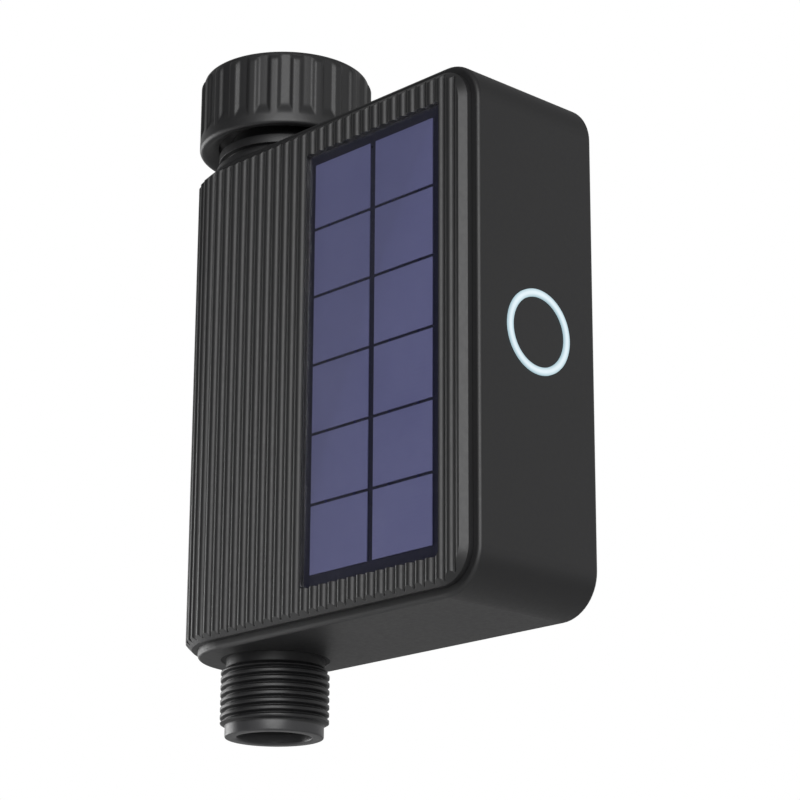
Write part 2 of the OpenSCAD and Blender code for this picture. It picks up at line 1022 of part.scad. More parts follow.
module motor_can() {
  color([0.72, 0.73, 0.75])
    difference() {
      union() {
        rod_x(lid_x1 + 0.02, 54.4, 9, motor_y, motor_z);
        rod_x(33.1, 34.6, 3, motor_y, motor_z);
      }
      rod_x(33, 40, axle_r + run, motor_y, motor_z);
      for (a = motor_screw_angles)
        translate([0, motor_y, motor_z])
          rotate([a, 0, 0])
            rod_x(34, 37.5, 0.85, motor_screw_r, 0);
    }
}

module motor_cap() {
  color([0.15, 0.15, 0.16])
    difference() {
      rod_x(54.42, 56.8, 8.5, motor_y, motor_z);
      rod_x(55.6, 58, 2.5, motor_y, motor_z);
    }
}

module motor_shaft() {
  color([0.78, 0.79, 0.8])
    rod_x(28.2, 39.9, axle_r, motor_y, motor_z);
}

module motor_screws() {
  color([0.72, 0.73, 0.75])
    translate([0, motor_y, motor_z])
      for (a = motor_screw_angles)
        rotate([a, 0, 0]) {
          rod_x(32, 33, 1.5, motor_screw_r, 0);
          rod_x(32.9, 37, 0.8, motor_screw_r, 0);
        }
}

// ---- Boards ----

module main_board() {
  color([0.05, 0.28, 0.16])
    slab_y(pcb_y0 + 0.02, pcb_y1)
      difference() {
        round_rect(pcb_x0, pcb_low, pcb_x1, pcb_high, 1.5);
        for (p = pcb_holes)
          translate(p)
            circle(1.05);
        translate([panel_lead_x, panel_lead_z])
          circle(2.6);
      }
}

// A part that stands on the board: its middle in X and Z, and its width, height and thickness
module on_board(x, z, w, h, t) {
  block([x - w / 2, pcb_y1 + 0.01, z - h / 2], [x + w / 2, pcb_y1 + t, z + h / 2]);
}

module board_chips() {
  color([0.1, 0.1, 0.11]) {
    on_board(48, -84, 10, 10, 1.3);
    on_board(66, -62, 5, 6, 1.4);
    on_board(45, -70, 6, 5, 1.4);
    on_board(34, -108, 5, 4, 1.2);
    on_board(46, -118, 4, 4, 1);
  }
}

module radio_can() {
  color([0.75, 0.76, 0.78])
    on_board(40, -129, 14, 13, 2);
}

// Sockets, by their middles in X and Z: motor, cell, panel, ring board, limit switches
motor_socket = [64, -50];
cell_socket = [44, -101];
panel_socket = [49, -43.4];
ring_socket = [74, -95];
limit_socket = [43, -94];
socket_t = 3.4;

module board_sockets() {
  color([0.9, 0.88, 0.8])
    for (p = [motor_socket, cell_socket, panel_socket, ring_socket, limit_socket])
      on_board(p[0], p[1], 5.6, 4.4, socket_t);
}

module board_parts() {
  color([0.55, 0.5, 0.42]) {
    rod_y(pcb_y1 + 0.01, pcb_y1 + 6, 3.1, 72, -74);
    rod_y(pcb_y1 + 0.01, pcb_y1 + 3, 2.6, 54, -76);
    for (i = [0:5])
      on_board(54 + i * 2.6, -88, 1.2, 2, 0.7);
    for (i = [0:4])
      on_board(55 + i * 2.6, -105, 1.2, 2, 0.7);
    for (i = [0:3])
      on_board(38, -76 - i * 2.6, 2, 1.2, 0.7);
  }
}

module board_screws() {
  color([0.72, 0.73, 0.75])
    for (p = pcb_holes)
      difference() {
        union() {
          rod_y(pcb_y1 + 0.01, pcb_y1 + 1.2, 1.8, p[0], p[1]);
          rod_y(pcb_y0 - 1.4, pcb_y1 + 0.1, 0.75, p[0], p[1]);
        }
        translate([p[0], 0, p[1]])
          block([-2, pcb_y1 + 0.7, -0.25], [2, pcb_y1 + 2, 0.25]);
      }
}

// ---- Cell ----

module battery_cell() {
  color([0.15, 0.4, 0.32])
    tall(cell_low, cell_top - 1.2)
      translate([cell_x, cell_axis_y])
        circle(cell_r);
}

module cell_cap() {
  color([0.78, 0.79, 0.8])
    tall(cell_top - 1.19, cell_top)
      translate([cell_x, cell_axis_y])
        circle(3.2);
}

module battery_holder() {
  half_w = cell_r + 1.6;
  back_y = in_r - 0.05;
  color([0.14, 0.14, 0.15])
    difference() {
      block([cell_x - half_w, 1, cell_low - 2.3], [cell_x + half_w, back_y, cell_top + 2.3]);
      tall(cell_low - 0.5, cell_top + 0.5)
        translate([cell_x, cell_axis_y])
          circle(cell_r + 0.1);
      block(
        [cell_x - cell_r - 0.1, -1, cell_low - 0.5],
        [cell_x + cell_r + 0.1, cell_axis_y, cell_top + 0.5]
      );
    }
}

module battery_contacts() {
  color([0.8, 0.7, 0.45]) {
    block([cell_x - 5, 1.5, cell_top + 0.02], [cell_x + 5, cell_axis_y + 4, cell_top + 0.48]);
    block([cell_x - 5, 1.5, cell_low - 0.48], [cell_x + 5, cell_axis_y + 4, cell_low - 0.02]);
  }
}

// ---- Ring and button ----

module ring_board() {
  color([0.05, 0.28, 0.16])
    rod_x(ring_pcb_x0, led_back - 0.01, 11.5, 0, ring_z);
}

module ring_leds() {
  color([0.95, 0.95, 0.85])
    translate([0, 0, ring_z])
      for (i = [0:led_count - 1])
        rotate([i * 360 / led_count + 30, 0, 0])
          block([led_back, led_ring_r - 0.8, -1], [led_face, led_ring_r + 0.8, 1]);
}

module switch_body() {
  color([0.1, 0.1, 0.11])
    translate([0, 0, ring_z])
      difference() {
        block([led_back, -3, -3], [led_back + 2, 3, 3]);
        rod_x(led_back + 0.6, led_back + 3, 1.75);
      }
}

module switch_plunger() {
  color([0.6, 0.15, 0.12])
    rod_x(led_back + 1.3, led_back + 2.9, 1.7, 0, ring_z);
}

module light_ring() {
  step_x = side_x - 4;
  color([0.85, 0.96, 0.96])
    difference() {
      union() {
        rod_x(ring_back, side_x + ring_proud, ring_out_r, 0, ring_z);
        rod_x(in_side - 2.4, in_side - 0.05, 11.4, 0, ring_z);
      }
      rod_x(ring_back - 1, side_x + 2, ring_in_r, 0, ring_z);
      rod_x(ring_back - 1, step_x, 8.9, 0, ring_z);
    }
}

module button_cap() {
  face_x = side_x;
  web_x = side_x - 2.2;
  stop_x = side_x - 4.05;
  color(charcoal)
    translate([0, 0, ring_z])
      difference() {
        union() {
          rod_x(stop_x - 0.8, face_x, cap_r);
          rod_x(stop_x - 0.8, stop_x, 8.8);
        }
        difference() {
          rod_x(stop_x - 2, web_x, 7);
          rod_x(led_back + 2.91, web_x + 1, 1.9);
        }
      }
}

// ---- Leads ----

// An end on a socket's outer face, offset along X
function on_socket(p, dx) = [p[0] + dx, pcb_y1 + socket_t + 0.02, p[1]];
lead_r = 0.55;
lead_dx = 1.2;

// From a start, out along a, to a socket, which it meets square on
module to_socket(start, out, p, dx, rise, side_ref) {
  stop = on_socket(p, dx);
  lead([start, start + out, stop + [0, rise, 0], stop], lead_r, side_ref);
}

module panel_drop(dx) {
  top = [panel_lead_x + dx, tape_y + 0.02, panel_lead_z];
  to_socket(top, [0, 13, 0], panel_socket, dx * lead_dx, 6, [0, 0, 1]);
}

module red_leads() {
  color([0.75, 0.08, 0.06]) {
    to_socket([56.82, motor_y - 1, motor_z + 5.5], [4, 0, 0], motor_socket, lead_dx, 7, [0, 0, 1]);
    to_socket([cell_x - cell_r - 1.62, 5, -84], [-5, 0, 0], cell_socket, lead_dx, 10, [0, 0, 1]);
    panel_drop(1);
  }
}

module black_leads() {
  color([0.06, 0.06, 0.06]) {
    to_socket([56.82, motor_y - 1, motor_z - 5.5], [4, 0, 0], motor_socket, -lead_dx, 7, [0, 0, 1]);
    to_socket([cell_x - cell_r - 1.62, 8, -140], [-5, 0, 0], cell_socket, -lead_dx, 10, [0, 0, 1]);
    panel_drop(-1);
  }
}

module white_leads() {
  color([0.85, 0.85, 0.83]) {
    for (dx = [-1.6, 0, 1.6])
      to_socket([ring_pcb_x0 - 0.02, -dx * 1.4, ring_z - 4], [-3, 0, 0], ring_socket, dx, 6, [0, 0, 1]);
    for (dx = [-lead_dx, lead_dx])
      to_socket([lid_x1 + 0.02, box_y0 + 4 + dx * 0.75, -96], [3, 0, 0], limit_socket, dx, 4, [0, 0, 1]);
  }
}

rear_shell();
front_cover();
case_gasket();
case_screws();
panel_tape();
panel_board();
solar_cells();
cell_ribbons();
panel_glass();
swivel_nut();
inlet_tail();
filter_washer();
filter_mesh();
tail_oring();
valve_body();
ball();
ball_seats();
valve_stem();
stem_orings();
stem_gland();
outlet_spigot();
spigot_oring();
neck_seal();
outlet_seal();
gearbox_base();
gearbox_cover();
gearbox_screws();
gear_pins();
output_gear();
gear_2();
gear_1();
motor_pinion();
stem_cam();
limit_switches();
motor_can();
motor_cap();
motor_shaft();
motor_screws();
main_board();
board_chips();
radio_can();
board_sockets();
board_parts();
board_screws();
battery_cell();
cell_cap();
battery_holder();
battery_contacts();
ring_board();
ring_leds();
switch_body();
switch_plunger();
light_ring();
button_cap();
red_leads();
black_leads();
white_leads();
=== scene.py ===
import json
import math
import bpy
from mathutils import Matrix, Vector


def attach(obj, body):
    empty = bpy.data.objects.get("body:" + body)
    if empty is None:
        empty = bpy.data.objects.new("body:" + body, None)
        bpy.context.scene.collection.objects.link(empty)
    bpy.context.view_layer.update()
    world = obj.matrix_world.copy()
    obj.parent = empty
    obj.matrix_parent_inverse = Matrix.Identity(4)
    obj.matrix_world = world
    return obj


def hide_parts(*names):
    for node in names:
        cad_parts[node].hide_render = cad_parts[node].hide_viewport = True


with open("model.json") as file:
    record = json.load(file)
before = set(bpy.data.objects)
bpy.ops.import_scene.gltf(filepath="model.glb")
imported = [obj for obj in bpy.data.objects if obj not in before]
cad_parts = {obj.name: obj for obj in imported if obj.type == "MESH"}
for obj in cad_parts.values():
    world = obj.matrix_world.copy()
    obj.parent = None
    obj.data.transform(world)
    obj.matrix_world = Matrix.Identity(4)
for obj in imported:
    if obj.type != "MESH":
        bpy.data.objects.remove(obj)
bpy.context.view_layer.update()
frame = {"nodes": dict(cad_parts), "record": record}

MM = 0.001
NODES = frame["nodes"]


# ---- Colours and materials ----

def linear(c):
    """One sRGB channel, 0 to 255, as linear light."""
    c = c / 255
    return c / 12.92 if c <= 0.04045 else ((c + 0.055) / 1.055) ** 2.4


def rgb(r, g, b):
    return (linear(r), linear(g), linear(b), 1.0)


def scaled(c, k):
    return tuple(min(1.0, v * k) for v in c[:3]) + (1.0,)


class Tree:
    """A small helper round a material's nodes."""

    def __init__(self, name):
        self.mat = bpy.data.materials.new(name)
        self.mat.use_nodes = True
        self.nodes = self.mat.node_tree.nodes
        self.links = self.mat.node_tree.links
        self.nodes.clear()
        self.out = self.add("ShaderNodeOutputMaterial")
        self.coords = self.add("ShaderNodeTexCoord").outputs["Object"]

    def add(self, kind, **settings):
        n = self.nodes.new(kind)
        for key, value in settings.items():
            setattr(n, key, value)
        return n

    def put(self, socket, value):
        if isinstance(value, bpy.types.NodeSocket):
            self.links.new(value, socket)
        else:
            socket.default_value = value

    def noise(self, scale, detail=4, rough=0.6, at=None):
        n = self.add("ShaderNodeTexNoise")
        self.put(n.inputs["Vector"], at or self.coords)
        n.inputs["Scale"].default_value = scale
        n.inputs["Detail"].default_value = detail
        n.inputs["Roughness"].default_value = rough
        return n.outputs["Fac"]

    def ramp(self, value, low, high, out_low=0.0, out_high=1.0):
        n = self.add("ShaderNodeMapRange")
        self.put(n.inputs["Value"], value)
        n.inputs["From Min"].default_value = low
        n.inputs["From Max"].default_value = high
        n.inputs["To Min"].default_value = out_low
        n.inputs["To Max"].default_value = out_high
        return n.outputs["Result"]

    def mix(self, fac, a, b):
        n = self.add("ShaderNodeMix", data_type="RGBA")
        self.put(n.inputs[0], fac)
        self.put(n.inputs[6], a)
        self.put(n.inputs[7], b)
        return n.outputs[2]

    def math(self, op, a, b=0.0):
        n = self.add("ShaderNodeMath", operation=op)
        self.put(n.inputs[0], a)
        self.put(n.inputs[1], b)
        return n.outputs[0]

    def bump(self, height, strength, distance, normal=None):
        n = self.add("ShaderNodeBump")
        self.put(n.inputs["Height"], height)
        n.inputs["Strength"].default_value = strength
        n.inputs["Distance"].default_value = distance
        if normal is not None:
            self.put(n.inputs["Normal"], normal)
        return n.outputs["Normal"]

    def edge(self, radius):
        """(softened normal, how near an outward edge this is from 0 to 1)."""
        bevel = self.add("ShaderNodeBevel", samples=6)
        bevel.inputs["Radius"].default_value = radius
        geo = self.add("ShaderNodeNewGeometry")
        dot = self.add("ShaderNodeVectorMath", operation="DOT_PRODUCT")
        self.put(dot.inputs[0], bevel.outputs["Normal"])
        self.put(dot.inputs[1], geo.outputs["Normal"])
        return bevel.outputs["Normal"], self.ramp(dot.outputs["Value"], 0.97, 0.8)

    def surface(self, **inputs):
        n = self.add("ShaderNodeBsdfPrincipled")
        for key, value in inputs.items():
            self.put(n.inputs[key.replace("_", " ")], value)
        self.links.new(n.outputs["BSDF"], self.out.inputs["Surface"])
        return n


def plastic(name, colour, rough=0.5, grain=0.25, wear=0.25, round_r=0.15, specular=0.5, polish_and_highlight_z=None):
    """Moulded plastic: fine grain, faint flow mottling, softened and slightly rubbed edges.

    Below a given height, when one is given, the colour is painted paler as a painted highlight and the
    surface is smoother.
    """
    t = Tree(name)
    broad = t.noise(38, 3)
    small = t.noise(900, 5)
    grit = t.noise(2600, 3, 0.7)
    soft, near = t.edge(round_r * MM)
    base = t.mix(t.ramp(broad, 0.3, 0.7), scaled(colour, 0.96), scaled(colour, 1.04))
    base = t.mix(t.math("MULTIPLY", t.ramp(small, 0.55, 0.75), 0.25), base, scaled(colour, 1.2))
    rub = t.math("MULTIPLY", near, t.ramp(small, 0.35, 0.65, 0.0, wear))
    base = t.mix(rub, base, scaled(colour, 2.1))
    mottled = t.ramp(small, 0.3, 0.7, rough - 0.03, rough + 0.04)
    roughness = t.math("ADD", mottled, t.math("MULTIPLY", rub, -0.1))
    if polish_and_highlight_z is not None:
        split = t.add("ShaderNodeSeparateXYZ")
        t.put(split.inputs[0], t.coords)
        polish_and_painted_highlight = t.ramp(split.outputs["Z"], polish_and_highlight_z * MM, (polish_and_highlight_z - 0.25) * MM)
        # Painted highlight: the paler colour below this height stands in for the bright highlight on the
        # outlet's end ring; the lower roughness is real.
        base = t.mix(polish_and_painted_highlight, base, scaled(colour, 3.0))
        roughness = t.math("SUBTRACT", roughness, t.math("MULTIPLY", polish_and_painted_highlight, 0.08))
    normal = t.bump(grit, grain, 0.00006, soft)
    t.surface(Base_Color=base, Roughness=roughness, Normal=normal, Specular_IOR_Level=specular)
    return t.mat


def metal(name, colour, rough=0.3, brushed=0.0, round_r=0.06):
    """Plated or turned metal with fine scratches and a few duller patches."""
    t = Tree(name)
    patch = t.noise(220, 5)
    stretch = t.add("ShaderNodeMapping")
    t.put(stretch.inputs["Vector"], t.coords)
    stretch.inputs["Scale"].default_value = (60, 2600, 2600)
    lines = t.noise(1.0, 4, 0.6, stretch.outputs["Vector"])
    soft = t.edge(round_r * MM)[0]
    base = t.mix(t.ramp(patch, 0.35, 0.7), colour, scaled(colour, 0.8))
    roughness = t.ramp(patch, 0.3, 0.7, rough, rough + 0.14)
    if brushed:
        normal = t.bump(lines, brushed, 0.00003, soft)
    else:
        normal = t.bump(t.noise(1500, 3), 0.12, 0.00002, soft)
    t.surface(Base_Color=base, Metallic=1.0, Roughness=roughness, Normal=normal)
    return t.mat


def rubber(name, colour, rough=0.65):
    """Soft rubber or foam with a little dust on it."""
    t = Tree(name)
    dust = t.noise(700, 5)
    soft = t.edge(0.1 * MM)[0]
    base = t.mix(t.ramp(dust, 0.5, 0.8, 0.0, 0.6), colour, scaled(colour, 1.8))
    t.surface(
        Base_Color=base,
        Roughness=t.ramp(dust, 0.3, 0.7, rough, rough + 0.15),
        Normal=t.bump(t.noise(2400, 3), 0.25, 0.00005, soft),
    )
    return t.mat


def board(name, colour):
    """Solder mask over faint tracks."""
    t = Tree(name)
    tracks = t.add("ShaderNodeTexBrick")
    t.put(tracks.inputs["Vector"], t.coords)
    tracks.inputs["Scale"].default_value = 160
    tracks.inputs["Mortar Size"].default_value = 0.03
    grain = t.noise(1400, 4)
    base = t.mix(t.math("MULTIPLY", tracks.outputs["Fac"], 0.5), colour, scaled(colour, 1.8))
    base = t.mix(t.ramp(grain, 0.4, 0.8, 0, 0.4), base, scaled(colour, 0.7))
    t.surface(
        Base_Color=base,
        Roughness=t.ramp(grain, 0.3, 0.7, 0.25, 0.4),
        Normal=t.bump(tracks.outputs["Fac"], 0.3, 0.00004),
    )
    return t.mat


def cell_silicon(name):
    """Blue-violet cells with fine silver fingers and a faint crystal mottle."""
    t = Tree(name)
    split = t.add("ShaderNodeSeparateXYZ")
    t.put(split.inputs[0], t.coords)
    crystal = t.add("ShaderNodeTexVoronoi")
    t.put(crystal.inputs["Vector"], t.coords)
    crystal.inputs["Scale"].default_value = 420
    mottle = t.noise(60, 3)
    finger_pitch = 1.1 * MM
    finger_share = 0.10
    wave = t.math("FRACT", t.math("MULTIPLY", split.outputs["Z"], 1 / finger_pitch))
    finger = t.math("LESS_THAN", wave, finger_share)
    base = t.mix(t.ramp(mottle, 0.3, 0.7), rgb(94, 96, 132), rgb(100, 102, 137))
    base = t.mix(t.ramp(crystal.outputs["Distance"], 0.2, 0.7, 0.0, 0.2), base, rgb(90, 92, 130))
    base = t.mix(t.math("MULTIPLY", finger, 0.05), base, rgb(150, 152, 180))
    t.surface(Base_Color=base, Roughness=0.42, Normal=t.bump(finger, 0.05, 0.00003))
    return t.mat


def clear_cover(name):
    """The panel's clear resin: see-through with a faint gloss."""
    t = Tree(name)
    haze = t.noise(500, 4)
    gloss = t.add("ShaderNodeBsdfGlossy")
    t.put(gloss.inputs["Roughness"], t.ramp(haze, 0.3, 0.7, 0.16, 0.24))
    gloss.inputs["Color"].default_value = (1, 1, 1, 1)
    clear = t.add("ShaderNodeBsdfTransparent")
    clear.inputs["Color"].default_value = (0.97, 0.97, 0.99, 1)
    fres = t.add("ShaderNodeFresnel")
    fres.inputs["IOR"].default_value = 1.3
    mixer = t.add("ShaderNodeMixShader")
    t.put(mixer.inputs[0], t.math("MULTIPLY", fres.outputs[0], 0.2))
    t.links.new(clear.outputs[0], mixer.inputs[1])
    t.links.new(gloss.outputs[0], mixer.inputs[2])
    t.links.new(mixer.outputs[0], t.out.inputs["Surface"])
    return t.mat


def ring_glow(name, middle, edge, strength):
    """The lit ring: whitest along its middle circle and tinted at both edges."""
    ring_z = -0.089
    middle_radius = 0.00925
    t = Tree(name)
    split = t.add("ShaderNodeSeparateXYZ")
    t.put(split.inputs[0], t.coords)
    up = t.math("SUBTRACT", split.outputs["Z"], ring_z)
    squares = t.math("ADD", t.math("POWER", split.outputs["Y"], 2.0), t.math("POWER", up, 2.0))
    off = t.math("ABSOLUTE", t.math("SUBTRACT", t.math("SQRT", squares), middle_radius))
    haze = t.ramp(t.noise(260, 3), 0.3, 0.7, 0.94, 1.0)
    glow = t.mix(t.ramp(off, 0.0002, 0.0009), middle, edge)
    t.surface(
        Base_Color=scaled(middle, 0.1),
        Roughness=0.35,
        Emission_Color=glow,
        Emission_Strength=t.math("MULTIPLY", haze, strength),
        Normal=t.bump(t.noise(1800, 2), 0.1, 0.00003),
    )
    return t.mat


def glowing(name, colour, strength, rough=0.35):
    """A lit LED's face."""
    t = Tree(name)
    haze = t.noise(300, 3)
    glow = t.mix(t.ramp(haze, 0.3, 0.7), colour, scaled(colour, 0.93))
    t.surface(
        Base_Color=scaled(colour, 0.9),
        Roughness=rough,
        Emission_Color=glow,
        Emission_Strength=strength,
        Normal=t.bump(t.noise(1800, 2), 0.1, 0.00003),
    )
    return t.mat


MATERIALS = {
    "case_plastic": plastic("case_plastic", rgb(27, 27, 28), 0.44, 0.18, 0.12),
    "nut_plastic": plastic("nut_plastic", rgb(32, 32, 33), 0.43, 0.2),
    # The outlet's paler band below -168.3 mm is a painted highlight on its end ring.
    "outlet_plastic": plastic("outlet_plastic", rgb(29, 29, 30), 0.42, 0.15, polish_and_highlight_z=-168.3),
    "button_plastic": plastic("button_plastic", rgb(27, 27, 28), 0.40, 0.22),
    "valve_plastic": plastic("valve_plastic", rgb(30, 30, 31), 0.42, 0.2),
    "gearbox_plastic": plastic("gearbox_plastic", rgb(216, 216, 206), 0.45, 0.2, 0.05),
    "gear_plastic": plastic("gear_plastic", rgb(232, 232, 222), 0.35, 0.12, 0.05, 0.05),
    "cam_plastic": plastic("cam_plastic", rgb(50, 84, 150), 0.35, 0.1, 0.1, 0.05),
    "seat_plastic": plastic("seat_plastic", rgb(236, 236, 230), 0.35, 0.1, 0.0),
    "holder_plastic": plastic("holder_plastic", rgb(38, 38, 40), 0.5, 0.25),
    "chip_plastic": plastic("chip_plastic", rgb(30, 30, 32), 0.55, 0.3, 0.1, 0.05),
    "socket_plastic": plastic("socket_plastic", rgb(226, 220, 198), 0.4, 0.15, 0.05, 0.06),
    "plunger_plastic": plastic("plunger_plastic", rgb(150, 38, 30), 0.35, 0.1, 0.1, 0.06),
    "seal_rubber": rubber("seal_rubber", rgb(26, 26, 26)),
    "washer_rubber": rubber("washer_rubber", rgb(46, 46, 46)),
    "screw_steel": metal("screw_steel", rgb(200, 202, 206), 0.28),
    "stainless": metal("stainless", rgb(190, 192, 194), 0.3, 0.2),
    "ball_chrome": metal("ball_chrome", rgb(226, 228, 232), 0.08),
    "stem_brass": metal("stem_brass", rgb(206, 176, 110), 0.25, 0.2),
    "can_steel": metal("can_steel", rgb(196, 198, 202), 0.3, 0.3),
    "contact_brass": metal("contact_brass", rgb(210, 186, 128), 0.25),
    "board_green": board("board_green", rgb(22, 84, 54)),
    "panel_black": plastic("panel_black", rgb(12, 13, 34), 0.5, 0.1, 0.0, specular=0.3),
    "panel_cells": cell_silicon("panel_cells"),
    "ribbon_metal": metal("ribbon_metal", rgb(46, 48, 92), 0.4),
    "panel_clear": clear_cover("panel_clear"),
    "tape_foam": rubber("tape_foam", rgb(222, 222, 214)),
    "cell_wrap": plastic("cell_wrap", rgb(46, 110, 88), 0.3, 0.1, 0.1, 0.1),
    "ring_light": ring_glow("ring_light", rgb(230, 245, 252), rgb(176, 204, 214), 0.9),
    "led_white": glowing("led_white", rgb(240, 244, 232), 1.5),
    "parts_mixed": plastic("parts_mixed", rgb(150, 138, 116), 0.35, 0.1, 0.1, 0.05),
    "wire_red": plastic("wire_red", rgb(180, 34, 28), 0.4, 0.1, 0.0, 0.02),
    "wire_black": plastic("wire_black", rgb(26, 26, 27), 0.4, 0.1, 0.0, 0.02),
    "wire_white": plastic("wire_white", rgb(218, 218, 212), 0.4, 0.1, 0.0, 0.02),
}
SLOT_OF = {s["node"]: s["material_slot"] for s in frame["record"]["subparts"]}
for node, obj in NODES.items():
    obj.data.materials.clear()
    obj.data.materials.append(MATERIALS[SLOT_OF[node]])


# ---- Mesh helpers ----

def new_mesh(name, verts, faces, material, sharp_angle):
    """A smooth-shaded piece, in millimetres, with its edges over sharp_angle degrees kept sharp."""
    mesh = bpy.data.meshes.new(name)
    mesh.from_pydata([Vector(v) * MM for v in verts], [], faces)
    mesh.validate()
    mesh.update()
    obj = bpy.data.objects.new(name, mesh)
    bpy.context.scene.collection.objects.link(obj)
    mesh.materials.append(MATERIALS[material])
    mesh.polygons.foreach_set("use_smooth", [True] * len(mesh.polygons))
    mesh.set_sharp_from_angle(angle=math.radians(sharp_angle))
    return obj


def turned_grid(rings, turns):
    """Faces of a closed grid that goes round the axis and round its own section."""
    faces = []
    for i in range(turns):
        j = (i + 1) % turns
        for k in range(rings):
            m = (k + 1) % rings
            faces.append((i * rings + k, j * rings + k, j * rings + m, i * rings + m))
    return faces


def clamp(x):
    return max(0.0, min(1.0, x))


def smooth_step(x):
    x = clamp(x)
    return x * x * (3 - 2 * x)


def thread_wave(x):
    """A rounded thread's height from 0 at the root to 1 at the crest; x counts pitches."""
    f = abs((x % 1.0) - 0.5) * 2
    f = clamp((f - 0.06) / 0.58)
    return 0.5 * f + 0.5 * smooth_step(f)


# ---- Hose outlet, with its real thread (millimetres, from the frame's origin) ----

OUTLET_R = 13.22
OUTLET_PITCH = 1.814
OUTLET_ROOT = OUTLET_R - 1.0
OUTLET_CORE = 12.0
OUTLET_TOP = -153.8
OUTLET_THREAD_LOW = -168.2
OUTLET_END = -170.9
OUTLET_START = 0.35
BODY_END = -146.02
SEAL_HIGH = -113
SEAL_LOW = -115.6
SOCKET_R = 12.35
BORE_R = 8.1
MOUTH_R = 9.05


def outlet_radius(z, turn):
    """The threaded stretch's radius at a height and an angle in turns."""
    rise = smooth_step((OUTLET_TOP - z) / 1.3) * smooth_step((z - OUTLET_THREAD_LOW) / 0.8)
    wave = thread_wave((z - OUTLET_TOP) / OUTLET_PITCH - turn + OUTLET_START)
    valley = OUTLET_CORE + (OUTLET_ROOT - OUTLET_CORE) * rise
    return valley + (OUTLET_R - OUTLET_ROOT) * wave * rise


def build_outlet():
    socket = [
        (BORE_R, -108.02), (SOCKET_R, -108.02), (SOCKET_R, SEAL_HIGH + 0.01), (10.6, SEAL_HIGH),
        (10.6, SEAL_LOW), (SOCKET_R, SEAL_LOW - 0.01), (SOCKET_R, BODY_END), (15.0, BODY_END),
        (15.0, -149.62), (OUTLET_CORE, -149.62), (OUTLET_CORE, OUTLET_TOP + 0.2),
    ]
    steps = 170
    thread = [(None, OUTLET_TOP + (OUTLET_THREAD_LOW - OUTLET_TOP) * k / steps) for k in range(steps + 1)]
    tail = [
        (OUTLET_CORE, OUTLET_THREAD_LOW - 0.2), (OUTLET_CORE, OUTLET_END + 0.4), (11.96, OUTLET_END + 0.22),
        (11.86, OUTLET_END + 0.09), (11.7, OUTLET_END + 0.02), (11.5, OUTLET_END), (9.7, OUTLET_END),
        (9.4, OUTLET_END + 0.04), (9.18, OUTLET_END + 0.18), (MOUTH_R, OUTLET_END + 0.5),
        (MOUTH_R, -165), (MOUTH_R, -152), (BORE_R, -151.9), (BORE_R, -140),
    ]
    section = socket + thread + tail
    turns = 192
    verts = []
    for i in range(turns):
        a = 2 * math.pi * i / turns
        for r, z in section:
            rr = outlet_radius(z, i / turns) if r is None else r
            verts.append((rr * math.cos(a), rr * math.sin(a), z))
    obj = new_mesh("threaded_outlet", verts, turned_grid(len(section), turns), "outlet_plastic", 50)
    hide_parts("outlet_spigot")
    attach(obj, "case")


build_outlet()


# ---- Tap nut, with soft grip ribs and an inside thread (millimetres) ----

NUT_RIBS = 24
NUT_BODY_R = 21.4
NUT_R = 22.1
NUT_HIGH = 0.8
NUT_LOW = -19.55
NUT_ROUND = 1.4
NUT_RIM_ROUND = 1
NUT_PITCH = 2.309
NUT_BORE = 15.15
NUT_THREAD_DEPTH = 1.4
NUT_THREAD_LOW = -9.45
COLLAR_HOLE = 13.9
RIB_TURN = 6.5 / 360


def rib_height(turn):
    """0 between ribs, 1 on top of one, with soft flanks."""
    x = abs(((turn * NUT_RIBS) % 1.0) - 0.5) * 2
    return smooth_step((RIB_TURN * NUT_RIBS + 0.22 - x) / 0.4)


def nut_outer(z, turn):
    """The nut's outside radius: ribs down its side, running out into a plain lip."""
    lip = smooth_step((-13.6 - z) / 3.4)
    rib = rib_height(turn) * smooth_step((0.25 - z) / 2.4)
    return NUT_BODY_R + (NUT_R - NUT_BODY_R) * max(lip, rib)


def arc(r0, z0, radius, start, stop, steps):
    """Points on a quarter round, from one angle in degrees to another."""
    angles = [math.radians(start + (stop - start) * k / steps) for k in range(steps + 1)]
    return [(r0 + radius * math.cos(a), z0 + radius * math.sin(a)) for a in angles]


def build_nut():
    top = arc(NUT_BODY_R - NUT_ROUND, NUT_HIGH - NUT_ROUND, NUT_ROUND, 90, 0, 6)
    wall = [("wall", NUT_HIGH - NUT_ROUND - 0.1 - 16.8 * k / 56) for k in range(57)]
    rim = arc(NUT_R - NUT_RIM_ROUND, NUT_LOW + NUT_RIM_ROUND, NUT_RIM_ROUND, 0, -90, 7)
    rim += [(20.7, NUT_LOW), (20.4, NUT_LOW + 0.08)]
    under = [
        (17.5, -18.08), (17.3, -17.95), (17.2, -17.75), (17.2, -16.7), (17.05, -16.5), (14.1, -16.5),
        (COLLAR_HOLE, -16.4), (COLLAR_HOLE, -13.86), (16.9, -13.85), (16.9, -9.6),
    ]
    inner = [("thread", NUT_THREAD_LOW + 8.95 * k / 76) for k in range(77)]
    mouth = [(16.3, -0.3), (16.4, 0.5), (16.7, 0.8)]
    section = top + wall + rim + under + inner + mouth
    turns = 480
    verts = []
    for i in range(turns):
        turn = i / turns
        a = 2 * math.pi * turn
        for r, z in section:
            if r == "wall":
                rr = nut_outer(z, turn + 1 / NUT_RIBS - RIB_TURN / 2)
            elif r == "thread":
                depth = thread_wave((z / NUT_PITCH) - turn) * smooth_step((z - NUT_THREAD_LOW + 0.05) / 0.8)
                rr = NUT_BORE + NUT_THREAD_DEPTH * (1 - depth) * smooth_step((z - NUT_THREAD_LOW) / 0.6)
            else:
                rr = r
            verts.append((rr * math.cos(a), rr * math.sin(a), z))
    obj = new_mesh("tap_nut", verts, turned_grid(len(section), turns), "nut_plastic", 45)
    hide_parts("swivel_nut")
    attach(obj, "nut")


build_nut()


# ---- Camera, floor and light ----

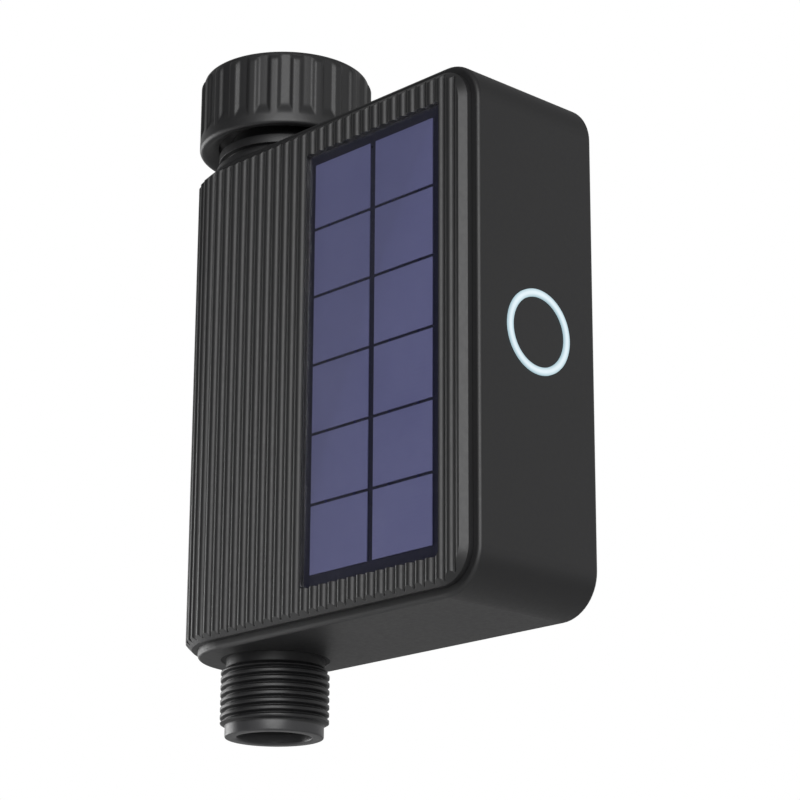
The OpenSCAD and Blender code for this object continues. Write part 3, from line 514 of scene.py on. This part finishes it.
scene = bpy.context.scene
cam_data = bpy.data.cameras.new("camera")
cam = bpy.data.objects.new("camera", cam_data)
scene.collection.objects.link(cam)
look = Vector((-0.69315, 0.65677, 0.29699)).normalized()
up = Vector((0.2120, -0.2081, 0.9549))
right = look.cross(up).normalized()
up = right.cross(look).normalized()
turn = Matrix((right, up, -look)).transposed().to_4x4()
CAMERA_AT = Vector((469.9, -404.0, -277.7)) * MM
cam.matrix_world = Matrix.Translation(CAMERA_AT) @ turn
cam_data.sensor_width = 36
cam_data.lens = 116.2
cam_data.clip_start = 0.01
scene.camera = cam

FLOOR_Z = -0.62
bpy.ops.mesh.primitive_plane_add(size=6, location=(0, 0, FLOOR_Z))
floor = bpy.context.object
floor.name = "floor"
t = Tree("floor_paint")
t.surface(Base_Color=t.mix(t.noise(3, 3), (0.80, 0.80, 0.80, 1), (0.84, 0.84, 0.84, 1)), Roughness=0.8)
floor.data.materials.append(t.mat)


def area_light(name, at, towards, size, power):
    data = bpy.data.lights.new(name, "AREA")
    data.shape = "DISK"
    data.size = size
    data.energy = power
    obj = bpy.data.objects.new(name, data)
    scene.collection.objects.link(obj)
    obj.location = at
    obj.rotation_euler = (Vector(towards) - Vector(at)).to_track_quat("-Z", "Y").to_euler()


MIDDLE = (0.03, 0, -0.09)
area_light("key", (0.66, -0.60, 0.12), MIDDLE, 0.8, 6.5)
area_light("fill", (-0.86, -0.18, -0.18), MIDDLE, 0.7, 4.5)

world = bpy.data.worlds.new("studio")
scene.world = world
world.use_nodes = True


def build_world():
    """White to the camera; round the object, bright at the horizon and dimmer above, below and in front."""
    tree = world.node_tree
    back = tree.nodes["Background"]
    coord = tree.nodes.new("ShaderNodeTexCoord").outputs["Generated"]

    def along(direction, low, high, out_low, out_high):
        dot = tree.nodes.new("ShaderNodeVectorMath")
        dot.operation = "DOT_PRODUCT"
        tree.links.new(coord, dot.inputs[0])
        dot.inputs[1].default_value = Vector(direction).normalized()
        span = tree.nodes.new("ShaderNodeMapRange")
        span.interpolation_type = "SMOOTHSTEP"
        tree.links.new(dot.outputs["Value"], span.inputs["Value"])
        span.inputs["From Min"].default_value = low
        span.inputs["From Max"].default_value = high
        span.inputs["To Min"].default_value = out_low
        span.inputs["To Max"].default_value = out_high
        return span.outputs["Result"]

    def join(op, a, b):
        n = tree.nodes.new("ShaderNodeMath")
        n.operation = op
        for socket, value in zip(n.inputs, (a, b)):
            if isinstance(value, float):
                socket.default_value = value
            else:
                tree.links.new(value, socket)
        return n.outputs[0]

    below = along((0, 0, -1), 0.3, 0.7, 1.0, 0.27)
    above = along((0, 0, 1), 0.3, 0.75, 1.0, 0.35)
    front = along((-0.69, -0.66, 0.15), 0.5, 0.95, 1.0, 0.08)
    level = join("MULTIPLY", join("MULTIPLY", join("MULTIPLY", below, above), front), 0.6)
    path = tree.nodes.new("ShaderNodeLightPath")
    strength = join("MAXIMUM", level, path.outputs["Is Camera Ray"])
    tree.links.new(strength, back.inputs["Strength"])
    back.inputs["Color"].default_value = (1, 1, 1, 1)


build_world()
scene.view_settings.view_transform = "Standard"
scene.view_settings.look = "None"
